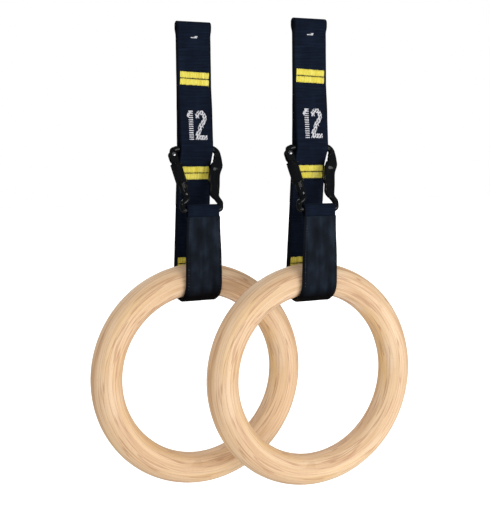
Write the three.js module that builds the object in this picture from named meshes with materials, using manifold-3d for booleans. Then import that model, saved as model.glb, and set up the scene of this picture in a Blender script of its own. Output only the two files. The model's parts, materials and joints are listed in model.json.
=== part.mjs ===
// A pair of wooden gymnastics rings. Each ring hangs in a webbing strap that passes behind it,
// wraps under it inside a wear sleeve and comes up in front to a locking carabiner, which is
// clipped into one loop of the strap's second, bar-tacked layer.
//
// Millimetres, +Z up, -Y is the front, X runs across the straps. The origin is the middle of the
// left strap's hanging eye. The ring planes are parallel to XZ.
import * as THREE from 'three';
import { mergeVertices } from 'three/addons/utils/BufferGeometryUtils.js';
import Module from 'manifold-3d';

const wasm = await Module();
wasm.setup();

// ---------------------------------------------------------------- driving dimensions
const GAP = 0.3; // clearance between neighbouring pieces

const RING_OUTER_R = 118; // 236 mm outside diameter
const TUBE_R = 16.35; // nominal 32 mm tube
const RING_DROP = 365; // hanging eye to ring centre
const RING_STEPS = 52;
const TUBE_STEPS = 16;
const WRAP_STEPS = 13; // chords on the webbing's arc under the tube

const RIGHT_X = 104; // the right assembly hangs this far to the right of the left one
const RIGHT_Y = -60; // and this far in front of it

const WEB_W = 38; // webbing width
const WEB_T = 1.8; // webbing thickness
const FOLD_W = 35.2; // width to which the webbing bunches on the carabiner

const EYE_GAP = 5; // clear depth of the hanging eye
const EYE_OPEN_Z = -4.5; // the eye's two legs are parallel down to here
const EYE_CLOSE_Z = -9.6; // and lie on each other from here
const SWING_Z = -14; // the webbing bends here when the strap swings
const TWIST_Z = -34; // and turns here when the strap twists
const TACK_Z = -55.5; // middle of the first bar tack
const TACK_PITCH = 96; // spacing of the bar tacks
const TACK_W = 32.5;
const TACK_H = 14.8;
const TACK_T = 0.55;
const TACK_LINE = 0.9; // half the height of the thin line between a tack's two bands
const TACK_EASE = 0.5; // rounding of the bands' edges
const DAISY_END_Z = -254; // lower end of the second layer
const KINK = new THREE.Vector2(3, -131); // where the back leg bends, behind the carabiner's bar

const SLEEVE_WALL = 0.9; // wear sleeve
const WOOD_GAP = 1.4; // room for the curving tube to turn in the sleeve
const WRAP_SAG = 1.35; // the webbing's edges bear lower on the curving tube than its middle would
const SLEEVE_TOP_Z = -197;
const SLEEVE_START = 0.03; // angle of its other end, behind the tube
const SLEEVE_SEAM = 0.6; // its sewn side edges
const SLEEVE_EASE = 0.8; // extra room where the webbing's tail is inside too
const MOUTH_RUN = 12; // behind, its mouth slopes away to where the loop's two legs meet
const MOUTH_FALL = 13;
const TAIL_END_Z = -222; // end of the webbing, sewn back on itself inside the sleeve

const STITCH_Z = -211; // the stitching that closes that end loop
const STITCH_W = 28;
const STITCH_H = 8;
const STITCH_T = 0.4;
const STITCH_CORNER = 1;

const ROD_R = 3.2; // carabiner rod
const BASE_Y = -17.4; // middle of the carabiner's lower bar
const BASE_Z = -190;
const CLIP_Z = -126.8; // height of its upper bar, inside the strap's loop
const ROD_STEPS = 66;
const SPINE_T = 5.4;
const SPINE_R = 5.5; // half the width of the flat spine, which has round ends
const SPINE_LOW = new THREE.Vector2(15.5, 17);
const SPINE_HIGH = new THREE.Vector2(20.4, 45.5);
const SHOULDER_R = 4; // the flat goes on narrower round the upper corner
const SHOULDER_LOW = new THREE.Vector2(23.7, 47.5);
const SHOULDER_HIGH = new THREE.Vector2(23.7, 56);
const GROOVE_R = 2.9; // the shallow groove on each face of the spine
const GROOVE_LOW = new THREE.Vector2(16.3, 21.5);
const GROOVE_HIGH = new THREE.Vector2(19.6, 41);
const GROOVE_T = 1;
const PIVOT = new THREE.Vector2(-26, 58.5); // gate pivot, in the carabiner's own plane
const NOSE = new THREE.Vector2(-15.8, 13.4); // tip of the nose, where the closed gate ends
const GATE_R = 4.2;
const FORK_R = 4.2;
const FORK_END = 8.5; // the fork's slot ends this far from the pivot
const FORK_TIP = 5; // its round lower end is centred here, just above the lock sleeve
const TANG_R = 3.6;
const TANG_T = 3;
const FORK_GAP_T = 3.7;
const FORK_T = 7.8;
const PIN_R = 1.3;
const PIN_HEAD_R = 2.2;
const PIN_HEAD_H = 0.7;
const LATCH_PIN_R = 1;
const LATCH_PIN_LEN = 7.4;
const LATCH_BACK = 2.8; // distance of the latch pin from the gate's end
const LATCH_SLOT_T = 2.4;
const HOOK_T = 1.7;
const HOOK_OUT = 2.9;
const HOOK_LIP = 0.9;
const LOCK_R = 5.9;
const LOCK_BORE_R = 4.5;
const LOCK_LEN = 22.4;
const LOCK_REST = 14.4; // the unlocked sleeve stops this far short of the nose
const LOCK_BEVEL = 0.5;
const PLUNGER_R = 1.3;
const PLUNGER_LEN = 8;
const PLUNGER_TIP_R = 0.7;
const STUD_R = 0.8; // the plunger's stud, inside the spring
const STUD_LEN = 2;
const BORE_R = 1.75;
const BORE_END = 28;
const SPRING_WIRE_R = 0.3;
const SPRING_TURNS = 6;
const SPRING_LEN = 12.9;

// ---------------------------------------------------------------- derived places
const RING_R = RING_OUTER_R - TUBE_R;
const LAYER = WEB_T + GAP; // spacing of two touching webbing layers
const HALF_LAYER = LAYER / 2;
const NECK_HALF = HALF_LAYER + WEB_T / 2; // half the thickness of the two layers together
const WRAP = new THREE.Vector2(0, -RING_DROP + RING_R - WRAP_SAG);
const WRAP_R = TUBE_R + WOOD_GAP + SLEEVE_WALL + GAP + WEB_T / 2;
const LOOP_R = ROD_R + 0.5 + WEB_T / 2; // webbing's own radius around the carabiner's rod
const BASE = new THREE.Vector2(BASE_Y, BASE_Z);
const SEWN_TOP = TACK_Z - TACK_H / 2;

// ---------------------------------------------------------------- materials
function material(color, roughness, metalness) {
  return new THREE.MeshStandardMaterial({ color, roughness, metalness });
}
const WEBBING = () => material(0x171d2b, 0.85, 0);
const THREAD = () => material(0xefd34a, 0.7, 0);
const SLEEVE = () => material(0x232b38, 0.55, 0);
const WOOD = () => material(0xe9c79d, 0.45, 0);
const BLACK_METAL = () => material(0x0b0c0d, 0.25, 0.6);
const STEEL = () => material(0xb8bcc0, 0.3, 1);

// ---------------------------------------------------------------- helpers
function solid(geometry) {
  const bare = geometry.index ? geometry : geometry.clone();
  bare.deleteAttribute('normal');
  bare.deleteAttribute('uv');
  const merged = mergeVertices(bare, 1e-4);
  return new wasm.Manifold(new wasm.Mesh({
    numProp: 3,
    vertProperties: new Float32Array(merged.attributes.position.array),
    triVerts: new Uint32Array(merged.index.array),
  }));
}

function geometryOf(manifold) {
  const mesh = manifold.getMesh();
  const geometry = new THREE.BufferGeometry();
  geometry.setAttribute('position', new THREE.BufferAttribute(mesh.vertProperties, 3));
  geometry.setIndex(new THREE.BufferAttribute(mesh.triVerts, 1));
  geometry.computeVertexNormals();
  return geometry;
}

function named(name, geometry, look) {
  const mesh = new THREE.Mesh(geometry, look);
  mesh.name = name;
  return mesh;
}

// Points where a straight run leaves one circle and meets the next; side 1 passes both on the
// left of their middles, side -1 on the right. A radius of 0 is a plain point.
function tangent(c1, r1, c2, r2, side) {
  const run = c2.clone().sub(c1);
  const along = run.clone().normalize();
  const left = new THREE.Vector2(-along.y, along.x);
  const lean = (r1 - r2) / run.length();
  const normal = along.multiplyScalar(lean).add(
    left.multiplyScalar(side * Math.sqrt(1 - lean * lean)));
  return [c1.clone().addScaledVector(normal, r1), c2.clone().addScaledVector(normal, r2)];
}

function angleFrom(centre, point) {
  return Math.atan2(point.y - centre.y, point.x - centre.x);
}

// A flat strip of webbing: the line through the middle of its thickness is drawn in the YZ
// plane and the strip is as wide as width, across X.
function ribbon(points, thickness, width) {
  const half = thickness / 2;
  const sides = [[], []];
  points.forEach((point, i) => {
    const before = points[Math.max(i - 1, 0)];
    const after = points[Math.min(i + 1, points.length - 1)];
    const a = point.clone().sub(before).normalize();
    const b = after.clone().sub(point).normalize();
    const run = a.add(b).normalize();
    const normal = new THREE.Vector2(-run.y, run.x);
    sides[0].push(point.clone().addScaledVector(normal, half));
    sides[1].push(point.clone().addScaledVector(normal, -half));
  });
  return acrossX(new THREE.Shape([...sides[0], ...sides[1].reverse()]), width);
}

// Extrudes an outline drawn in the YZ plane by width, centred on X = 0.
function acrossX(shape, width) {
  const geometry = new THREE.ExtrudeGeometry(shape, { depth: width, bevelEnabled: false });
  geometry.translate(0, 0, -width / 2);
  const swap = new THREE.Matrix4().makeBasis(
    new THREE.Vector3(0, 1, 0), new THREE.Vector3(0, 0, 1), new THREE.Vector3(1, 0, 0));
  return geometry.applyMatrix4(swap);
}

// Straight and round runs become points, with enough of them on each arc.
function pathPoints(path, arcSteps) {
  const points = path.getPoints(arcSteps);
  return points.filter((p, i) => i === 0 || p.distanceTo(points[i - 1]) > 0.01);
}

function cylinder(radius, from, to, sides = 20) {
  const run = to.clone().sub(from);
  const geometry = new THREE.CylinderGeometry(radius, radius, run.length(), sides);
  const turn = new THREE.Quaternion().setFromUnitVectors(
    new THREE.Vector3(0, 1, 0), run.clone().normalize());
  geometry.applyQuaternion(turn);
  const middle = from.clone().add(to).multiplyScalar(0.5);
  return geometry.translate(middle.x, middle.y, middle.z);
}

// A plate of even thickness about the carabiner's own plane.
function plate(shape, thickness, curveSegments = 8) {
  const geometry = new THREE.ExtrudeGeometry(shape, {
    depth: thickness, bevelEnabled: false, curveSegments });
  return geometry.translate(0, 0, -thickness / 2);
}

function roundedBox(x0, y0, x1, y1, r) {
  const shape = new THREE.Shape();
  shape.moveTo(x0 + r, y0);
  shape.lineTo(x1 - r, y0);
  shape.absarc(x1 - r, y0 + r, r, -Math.PI / 2, 0);
  shape.lineTo(x1, y1 - r);
  shape.absarc(x1 - r, y1 - r, r, 0, Math.PI / 2);
  shape.lineTo(x0 + r, y1);
  shape.absarc(x0 + r, y1 - r, r, Math.PI / 2, Math.PI);
  shape.lineTo(x0, y0 + r);
  shape.absarc(x0 + r, y0 + r, r, Math.PI, 1.5 * Math.PI);
  return shape;
}

// A bar with round ends between two points of the carabiner's plane.
function link(from, to, r, thickness) {
  const length = to.distanceTo(from);
  const shape = new THREE.Shape();
  shape.moveTo(0, -r);
  shape.lineTo(length, -r);
  shape.absarc(length, 0, r, -Math.PI / 2, Math.PI / 2);
  shape.lineTo(0, r);
  shape.absarc(0, 0, r, Math.PI / 2, 1.5 * Math.PI);
  const geometry = plate(shape, thickness);
  geometry.rotateZ(angleFrom(from, to));
  return geometry.translate(from.x, from.y, 0);
}

// ---------------------------------------------------------------- webbing lines
// Back leg: straight from the kink to the back of the ring's tube.
const [BACK_TOP, BACK_TANGENT] = tangent(KINK, 0, WRAP, WRAP_R, 1);
const BACK_RUN = BACK_TANGENT.clone().sub(BACK_TOP).normalize();

// A point of the second layer, which lies against the front of the back leg.
function onSecondLayer(z) {
  const t = (z - BACK_TOP.y) / BACK_RUN.y;
  return BACK_TOP.clone().addScaledVector(BACK_RUN, t)
    .add(new THREE.Vector2(BACK_RUN.y, -BACK_RUN.x).multiplyScalar(LAYER));
}

// The main strap's place between the first bar tack and the kink.
function aboveKink(z) {
  return HALF_LAYER + (z - SEWN_TOP) * (KINK.x - HALF_LAYER) / (KINK.y - SEWN_TOP);
}

// The carabiner's upper bar lies in front of the back leg, inside the second layer's loop.
const CLIP = new THREE.Vector2(aboveKink(CLIP_Z) - LOOP_R - 0.1, CLIP_Z);
const CARABINER_TILT = Math.atan2(CLIP.x - BASE.x, CLIP.y - BASE.y);
const CARABINER_LEN = CLIP.distanceTo(BASE);

const [FRONT_LOW, FRONT_HIGH] = tangent(WRAP, WRAP_R, BASE, LOOP_R, 1);
const FRONT_RUN = FRONT_HIGH.clone().sub(FRONT_LOW).normalize();
const TAIL_SHIFT = new THREE.Vector2(FRONT_RUN.y, -FRONT_RUN.x).multiplyScalar(LAYER);

function onTail(z) {
  const t = (z - FRONT_LOW.y) / FRONT_RUN.y;
  return FRONT_LOW.clone().addScaledVector(FRONT_RUN, t).add(TAIL_SHIFT);
}

// ---------------------------------------------------------------- webbing
function hangingEye() {
  const r = EYE_GAP / 2 + WEB_T / 2;
  const legEnd = SWING_Z + NECK_HALF + GAP;
  const path = new THREE.Path();
  path.moveTo(HALF_LAYER, legEnd);
  path.lineTo(HALF_LAYER, EYE_CLOSE_Z);
  path.lineTo(r, EYE_OPEN_Z);
  path.lineTo(r, 0);
  path.absarc(0, 0, r, 0, Math.PI, false);
  path.lineTo(-r, EYE_OPEN_Z);
  path.lineTo(-HALF_LAYER, EYE_CLOSE_Z);
  path.lineTo(-HALF_LAYER, legEnd);
  return ribbon(pathPoints(path, 6), WEB_T, WEB_W);
}

// The two layers sewn together below the eye, with a round upper edge that turns in the bend.
function strapNeck() {
  const shape = new THREE.Shape();
  shape.moveTo(NECK_HALF, SWING_Z);
  shape.absarc(0, SWING_Z, NECK_HALF, 0, Math.PI, false);
  shape.lineTo(-NECK_HALF, TWIST_Z + GAP);
  shape.lineTo(NECK_HALF, TWIST_Z + GAP);
  return acrossX(shape, WEB_W);
}

function mainStrap() {
  const path = new THREE.Path();
  const tailTop = onTail(BASE_Z - 2.6 * LOOP_R);
  const [over] = tangent(BASE, LOOP_R, tailTop, 0, 1);
  const tailEnd = onTail(TAIL_END_Z);
  path.moveTo(HALF_LAYER, TWIST_Z);
  path.lineTo(HALF_LAYER, SEWN_TOP);
  path.lineTo(BACK_TOP.x, BACK_TOP.y);
  path.lineTo(BACK_TANGENT.x, BACK_TANGENT.y);
  path.absarc(
    WRAP.x, WRAP.y, WRAP_R, angleFrom(WRAP, BACK_TANGENT), angleFrom(WRAP, FRONT_LOW), true);
  path.lineTo(FRONT_HIGH.x, FRONT_HIGH.y);
  path.absarc(BASE.x, BASE.y, LOOP_R, angleFrom(BASE, FRONT_HIGH), angleFrom(BASE, over), true);
  path.lineTo(tailTop.x, tailTop.y);
  path.lineTo(tailEnd.x, tailEnd.y);
  let strap = solid(ribbon(pathPoints(path, WRAP_STEPS), WEB_T, WEB_W));
  // the webbing bunches where it passes over the carabiner
  for (const side of [-1, 1]) {
    const cut = new THREE.Shape();
    const inner = side * FOLD_W / 2;
    const edge = side * WEB_W / 2;
    const beyond = side * (WEB_W / 2 + 2);
    cut.moveTo(inner, BASE_Z - ROD_R);
    cut.lineTo(inner, BASE_Z + 2 * LOOP_R);
    cut.lineTo(beyond, BASE_Z + 2 * LOOP_R);
    cut.lineTo(beyond, SLEEVE_TOP_Z - 2);
    cut.lineTo(edge, SLEEVE_TOP_Z - 2);
    const wedge = new THREE.ExtrudeGeometry(cut, { depth: 4 * LOOP_R, bevelEnabled: false });
    wedge.rotateX(Math.PI / 2);
    wedge.translate(0, BASE_Y + 2 * LOOP_R, 0);
    strap = strap.subtract(solid(wedge));
  }
  return geometryOf(strap);
}

function secondLayer() {
  const join = onSecondLayer(TACK_Z - TACK_PITCH + TACK_H / 2);
  const end = onSecondLayer(DAISY_END_Z);
  const [start, on] = tangent(new THREE.Vector2(-HALF_LAYER, SEWN_TOP), 0, CLIP, LOOP_R, -1);
  const [off] = tangent(CLIP, LOOP_R, join, 0, -1);
  const path = new THREE.Path();
  path.moveTo(-HALF_LAYER, TWIST_Z);
  path.lineTo(start.x, start.y);
  path.lineTo(on.x, on.y);
  path.absarc(CLIP.x, CLIP.y, LOOP_R, angleFrom(CLIP, on), angleFrom(CLIP, off), false);
  path.lineTo(join.x, join.y);
  path.lineTo(end.x, end.y);
  return ribbon(pathPoints(path, 7), WEB_T, WEB_W);
}

// Two bands of close stitching with a thin line between them.
function barTack() {
  const h = TACK_H / 2;
  const half = [
    [-TACK_T / 2, TACK_LINE - TACK_EASE], [-TACK_T, TACK_LINE], [-TACK_T, h - TACK_EASE],
    [-TACK_T / 2, h], [0, h],
  ];
  const mirrored = half.map(([y, z]) => [y, -z]).reverse();
  const outline = [...mirrored, ...half].map(([y, z]) => new THREE.Vector2(y, z));
  return acrossX(new THREE.Shape(outline), TACK_W);
}

// A bar tack on the front of the second layer, lying at the layer's own slope.
function placedTack(name, point, run) {
  const tack = named(name, barTack(), THREAD());
  const front = new THREE.Vector2(run.y, -run.x);
  const seat = point.clone().addScaledVector(front, WEB_T / 2 + GAP);
  tack.position.set(0, seat.x, seat.y);
  tack.rotation.x = Math.atan2(run.x, -run.y);
  return tack;
}

function wearSleeve() {
  const topPoint = FRONT_LOW.clone().addScaledVector(
    FRONT_RUN, (SLEEVE_TOP_Z - FRONT_LOW.y) / FRONT_RUN.y);
  function along(extra) {
    const path = new THREE.Path();
    const start = SLEEVE_START + extra / WRAP_R;
    path.moveTo(WRAP.x + WRAP_R * Math.cos(start), WRAP.y + WRAP_R * Math.sin(start));
    path.absarc(WRAP.x, WRAP.y, WRAP_R, start, angleFrom(WRAP, FRONT_LOW), true);
    const top = topPoint.clone().addScaledVector(FRONT_RUN, extra);
    path.lineTo(top.x, top.y);
    return pathPoints(path, WRAP_STEPS);
  }
  function besideTail(extraUp, extraDown) {
    return [onTail(SLEEVE_TOP_Z + extraUp), onTail(TAIL_END_Z - extraDown)]
      .map((p) => p.addScaledVector(TAIL_SHIFT, 0.2));
  }
  const wall = 2 * SLEEVE_WALL;
  const room = WEB_T + 2 * GAP;
  const width = WEB_W + 2 * GAP;
  const seamed = width + 2 * SLEEVE_SEAM;
  // behind the front wall the mouth slopes down to where the loop's two legs meet
  const nearX = topPoint.x - 0.5;
  const farX = topPoint.x + MOUTH_RUN;
  const mouth = new THREE.Shape();
  mouth.moveTo(nearX, SLEEVE_TOP_Z);
  mouth.lineTo(farX, SLEEVE_TOP_Z - MOUTH_FALL);
  mouth.lineTo(farX, BASE_Z);
  mouth.lineTo(nearX, BASE_Z);
  const outer = solid(ribbon(along(0), room + wall, seamed))
    .add(solid(ribbon(besideTail(0, 1.5), room + wall + SLEEVE_EASE, seamed)))
    .subtract(solid(acrossX(mouth, 2 * WEB_W)));
  const inner = solid(ribbon(along(2), room, width))
    .add(solid(ribbon(besideTail(2, 0.5), room + SLEEVE_EASE, width)));
  return geometryOf(outer.subtract(inner));
}

// The stitching that closes the end loop, inside the sleeve.
function endLoopStitch() {
  const shape = roundedBox(-STITCH_W / 2, -STITCH_H / 2, STITCH_W / 2, STITCH_H / 2, STITCH_CORNER);
  const geometry = new THREE.ExtrudeGeometry(shape, {
    depth: STITCH_T, bevelEnabled: false, curveSegments: 2 });
  return geometry.rotateX(Math.PI / 2);
}

// ---------------------------------------------------------------- carabiner
// Drawn in its own plane: x across, y from the lower bar towards the upper one, z to the front.
const GATE_RUN = NOSE.clone().sub(PIVOT).normalize(); // from the pivot towards the nose
const GATE_LEN = NOSE.distanceTo(PIVOT);
const LATCH_PIN_D = GATE_LEN - LATCH_BACK;

// A point of the gate, d from the pivot, e towards the outside and z to the front.
function onGate(d, e = 0, z = 0) {
  return new THREE.Vector3(
    PIVOT.x + GATE_RUN.x * d + GATE_RUN.y * e,
    PIVOT.y + GATE_RUN.y * d - GATE_RUN.x * e, z);
}

function alongGate(radius, d0, d1, sides) {
  return solid(cylinder(radius, onGate(d0), onGate(d1), sides));
}

function throughPlane(radius, d, thickness, sides = 16) {
  return solid(cylinder(radius, onGate(d, 0, -thickness / 2), onGate(d, 0, thickness / 2), sides));
}

// A block lined up with the gate, from d0 to d1 along it and e0 to e1 outwards.
function gateBlock(d0, d1, e0, e1, thickness) {
  const shape = new THREE.Shape([[d0, e0], [d1, e0], [d1, e1], [d0, e1]].map(([d, e]) => {
    const p = onGate(d, e);
    return new THREE.Vector2(p.x, p.y);
  }));
  return solid(plate(shape, thickness));
}

// Cuts right through the carabiner, d from the pivot.
function pinHole(radius, d, sides) {
  return throughPlane(radius, d, 4 * SPINE_T, sides);
}

function carabinerBody() {
  const top = CARABINER_LEN;
  const course = [
    [NOSE.x, NOSE.y], [-15.4, 11.6], [-17.2, 9.4], [-20.3, 7.2], [-21.1, 4], [-20.5, 1.1], [-18, 0],
    [0, 0], [18, 0], [20.5, 1.1], [21.1, 4], [21, 7], [18.8, 10.6], [17, 15], [18.6, 26],
    [20.5, 38], [23.3, 44.2], [25.2, 48], [25.6, 52], [25, top - 8.2], [24, top - 4.8],
    [22, top - 2], [19, top - 0.15], [0, top], [-19, top], [-22.8, top - 0.5], [-25.6, top - 2.2],
  ];
  const curve = new THREE.CatmullRomCurve3(course.map(([x, y]) => new THREE.Vector3(x, y, 0)));
  const section = new THREE.Shape();
  section.absarc(0, 0, ROD_R, 0, 2 * Math.PI);
  const rod = new THREE.ExtrudeGeometry(section, {
    steps: ROD_STEPS, curveSegments: 5, bevelEnabled: false, extrudePath: curve });
  let body = solid(rod)
    .add(solid(link(SPINE_LOW, SPINE_HIGH, SPINE_R, SPINE_T)))
    .add(solid(link(SHOULDER_LOW, SHOULDER_HIGH, SHOULDER_R, SPINE_T)));
  for (const side of [-1, 1]) {
    const groove = link(GROOVE_LOW, GROOVE_HIGH, GROOVE_R, 2 * GROOVE_T);
    body = body.subtract(solid(groove.translate(0, 0, side * (ROD_R + 0.05))));
  }
  // the rod ends clear of the gate's fork and goes on as a thin tang with the pivot's hole
  const rodEnd = new THREE.Vector2(PIVOT.x + 1, top - 2);
  body = body.subtract(pinHole(FORK_R + 0.5, 0, 24))
    .add(solid(link(PIVOT, rodEnd, TANG_R, TANG_T)))
    .subtract(pinHole(PIN_R + GAP, 0, 16));
  // the nose carries a hooked tongue that holds the gate's latch pin
  const tongueTop = LATCH_PIN_D - LATCH_PIN_R - GAP - HOOK_LIP;
  const hook = gateBlock(tongueTop, GATE_LEN + 1, LATCH_PIN_R + 0.35, HOOK_OUT, HOOK_T)
    .add(gateBlock(tongueTop, tongueTop + HOOK_LIP, -0.6, HOOK_OUT, HOOK_T));
  return geometryOf(body.add(hook));
}

function gate() {
  const forkEnd = new THREE.Vector2(onGate(FORK_TIP).x, onGate(FORK_TIP).y);
  const body = alongGate(GATE_R, FORK_END - 1, GATE_LEN - 0.4, 20)
    .add(solid(link(PIVOT, forkEnd, FORK_R, FORK_T)));
  const slot = gateBlock(-2 * FORK_R, FORK_END, -2 * FORK_R, 2 * FORK_R, FORK_GAP_T);
  const latchSlot = gateBlock(
    LATCH_PIN_D - LATCH_BACK, GATE_LEN + 2, -2 * GATE_R, 2 * GATE_R, LATCH_SLOT_T);
  return geometryOf(body.subtract(slot)
    .subtract(latchSlot)
    .subtract(alongGate(BORE_R, FORK_END - 2, BORE_END, 14))
    .subtract(pinHole(PIN_R + GAP, 0, 16))
    .subtract(pinHole(LATCH_PIN_R + GAP, LATCH_PIN_D, 12)));
}

// The pivot: a pin with a round head on each side of the fork.
function gatePin() {
  const seat = FORK_T / 2 + GAP;
  const half = [
    [PIN_R, seat], [PIN_HEAD_R, seat], [PIN_HEAD_R, seat + PIN_HEAD_H / 2],
    [PIN_HEAD_R - PIN_HEAD_H, seat + PIN_HEAD_H], [0, seat + PIN_HEAD_H],
  ];
  const mirrored = half.map(([r, h]) => [r, -h]).reverse();
  const profile = [...mirrored, ...half].map(([r, h]) => new THREE.Vector2(r, h));
  const geometry = new THREE.LatheGeometry(profile, 16);
  geometry.rotateX(Math.PI / 2);
  return geometry.translate(PIVOT.x, PIVOT.y, 0);
}

function latchPin() {
  const half = LATCH_PIN_LEN / 2;
  return cylinder(LATCH_PIN_R, onGate(LATCH_PIN_D, 0, -half), onGate(LATCH_PIN_D, 0, half), 12);
}

function plunger() {
  const profile = [
    [0, 0], [PLUNGER_TIP_R, 0], [PLUNGER_R, PLUNGER_R - PLUNGER_TIP_R], [PLUNGER_R, PLUNGER_LEN],
    [STUD_R, PLUNGER_LEN], [STUD_R, PLUNGER_LEN + STUD_LEN], [0, PLUNGER_LEN + STUD_LEN],
  ].map(([r, h]) => new THREE.Vector2(r, h));
  return lathedOnGate(profile, TANG_R + GAP, 14);
}

// Turns a profile about the gate's line, starting d from the pivot.
function lathedOnGate(profile, d, sides) {
  const geometry = new THREE.LatheGeometry(profile, sides);
  const start = onGate(d);
  const turn = new THREE.Quaternion().setFromUnitVectors(
    new THREE.Vector3(0, 1, 0), new THREE.Vector3(GATE_RUN.x, GATE_RUN.y, 0));
  geometry.applyQuaternion(turn);
  return geometry.translate(start.x, start.y, start.z);
}

class Helix extends THREE.Curve {
  getPoint(t) {
    const angle = 2 * Math.PI * SPRING_TURNS * t;
    const r = BORE_R - GAP / 2 - SPRING_WIRE_R;
    return new THREE.Vector3(r * Math.cos(angle), SPRING_LEN * t, r * Math.sin(angle));
  }
}

function gateSpring() {
  const section = new THREE.Shape();
  section.absarc(0, 0, SPRING_WIRE_R, 0, 2 * Math.PI);
  const geometry = new THREE.ExtrudeGeometry(section, {
    steps: SPRING_TURNS * 10, curveSegments: 3, bevelEnabled: false, extrudePath: new Helix() });
  const start = onGate(TANG_R + PLUNGER_LEN + 2 * GAP + SPRING_WIRE_R);
  const turn = new THREE.Quaternion().setFromUnitVectors(
    new THREE.Vector3(0, 1, 0), new THREE.Vector3(GATE_RUN.x, GATE_RUN.y, 0));
  geometry.applyQuaternion(turn);
  return geometry.translate(start.x, start.y, start.z);
}

// The screw-lock sleeve, open along its bore, with a bevelled rim at each end.
function lockSleeve() {
  const rim = LOCK_R - LOCK_BEVEL;
  const profile = [
    [LOCK_BORE_R, 0], [rim, 0], [LOCK_R, LOCK_BEVEL], [LOCK_R, LOCK_LEN - LOCK_BEVEL],
    [rim, LOCK_LEN], [LOCK_BORE_R, LOCK_LEN], [LOCK_BORE_R, 0],
  ].map(([r, h]) => new THREE.Vector2(r, h));
  return lathedOnGate(profile, GATE_LEN - LOCK_REST - LOCK_LEN, 24);
}

function carabiner(side) {
  const group = new THREE.Group();
  group.add(
    named(`${side}_carabiner_body`, carabinerBody(), BLACK_METAL()),
    named(`${side}_gate`, gate(), BLACK_METAL()),
    named(`${side}_gate_pin`, gatePin(), STEEL()),
    named(`${side}_latch_pin`, latchPin(), STEEL()),
    named(`${side}_gate_plunger`, plunger(), STEEL()),
    named(`${side}_gate_spring`, gateSpring(), STEEL()),
    named(`${side}_lock_sleeve`, lockSleeve(), BLACK_METAL()),
  );
  group.position.set(0, BASE.x, BASE.y);
  group.rotation.x = Math.PI / 2 - CARABINER_TILT;
  return group;
}

// ---------------------------------------------------------------- one ring and its strap
function ring() {
  const geometry = new THREE.TorusGeometry(RING_R, TUBE_R, TUBE_STEPS, RING_STEPS);
  geometry.rotateX(Math.PI / 2);
  return geometry.translate(0, 0, -RING_DROP);
}

function assembly(side) {
  const group = new THREE.Group();
  const down = new THREE.Vector2(0, -1);
  const stitch = named(`${side}_end_loop_stitch`, endLoopStitch(), THREAD());
  const stitchAt = onTail(STITCH_Z).addScaledVector(
    TAIL_SHIFT, (WEB_T / 2 + GAP + STITCH_T) / LAYER);
  stitch.position.set(0, stitchAt.x, stitchAt.y);
  stitch.rotation.x = Math.atan2(-FRONT_RUN.x, FRONT_RUN.y);
  group.add(
    named(`${side}_hanging_eye`, hangingEye(), WEBBING()),
    named(`${side}_strap_neck`, strapNeck(), WEBBING()),
    named(`${side}_main_strap`, mainStrap(), WEBBING()),
    named(`${side}_loop_webbing`, secondLayer(), WEBBING()),
    placedTack(`${side}_upper_bar_tack`, new THREE.Vector2(-HALF_LAYER, TACK_Z), down),
    placedTack(`${side}_middle_bar_tack`, onSecondLayer(TACK_Z - TACK_PITCH), BACK_RUN),
    placedTack(`${side}_lower_bar_tack`, onSecondLayer(TACK_Z - 2 * TACK_PITCH), BACK_RUN),
    stitch,
    named(`${side}_wear_sleeve`, wearSleeve(), SLEEVE()),
    named(`${side}_ring`, ring(), WOOD()),
    carabiner(side),
  );
  return group;
}

const rings = new THREE.Group();
const left = assembly('left');
const right = assembly('right');
right.position.set(RIGHT_X, RIGHT_Y, 0);
rings.add(left, right);

export default rings;
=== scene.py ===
"""Looks for a pair of wooden gymnastics rings on webbing straps, in metres."""

import json
import math
import random

import bmesh
import bpy
from mathutils import Matrix, Vector, noise


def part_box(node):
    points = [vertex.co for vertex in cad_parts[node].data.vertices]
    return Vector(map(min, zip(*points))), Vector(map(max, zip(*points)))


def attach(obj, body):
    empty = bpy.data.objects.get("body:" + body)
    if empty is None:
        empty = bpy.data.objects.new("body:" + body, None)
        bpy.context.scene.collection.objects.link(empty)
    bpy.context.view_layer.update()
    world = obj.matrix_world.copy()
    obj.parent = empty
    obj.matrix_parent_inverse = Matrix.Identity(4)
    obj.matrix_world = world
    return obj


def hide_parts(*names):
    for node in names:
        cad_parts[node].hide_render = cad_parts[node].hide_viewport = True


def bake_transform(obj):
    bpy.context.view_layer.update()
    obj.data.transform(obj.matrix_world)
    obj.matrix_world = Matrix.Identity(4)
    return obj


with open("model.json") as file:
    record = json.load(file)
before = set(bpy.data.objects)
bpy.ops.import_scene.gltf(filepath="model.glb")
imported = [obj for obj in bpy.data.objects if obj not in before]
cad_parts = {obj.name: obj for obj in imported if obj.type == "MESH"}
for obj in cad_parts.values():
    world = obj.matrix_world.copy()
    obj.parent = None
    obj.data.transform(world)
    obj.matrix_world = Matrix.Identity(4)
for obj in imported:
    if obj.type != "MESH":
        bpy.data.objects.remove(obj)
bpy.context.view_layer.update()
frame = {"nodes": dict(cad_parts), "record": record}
RECORD = frame["record"]
JOINTS = {j["name"]: j for j in RECORD["behaviour"]["joints"]}
random.seed(12)

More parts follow.
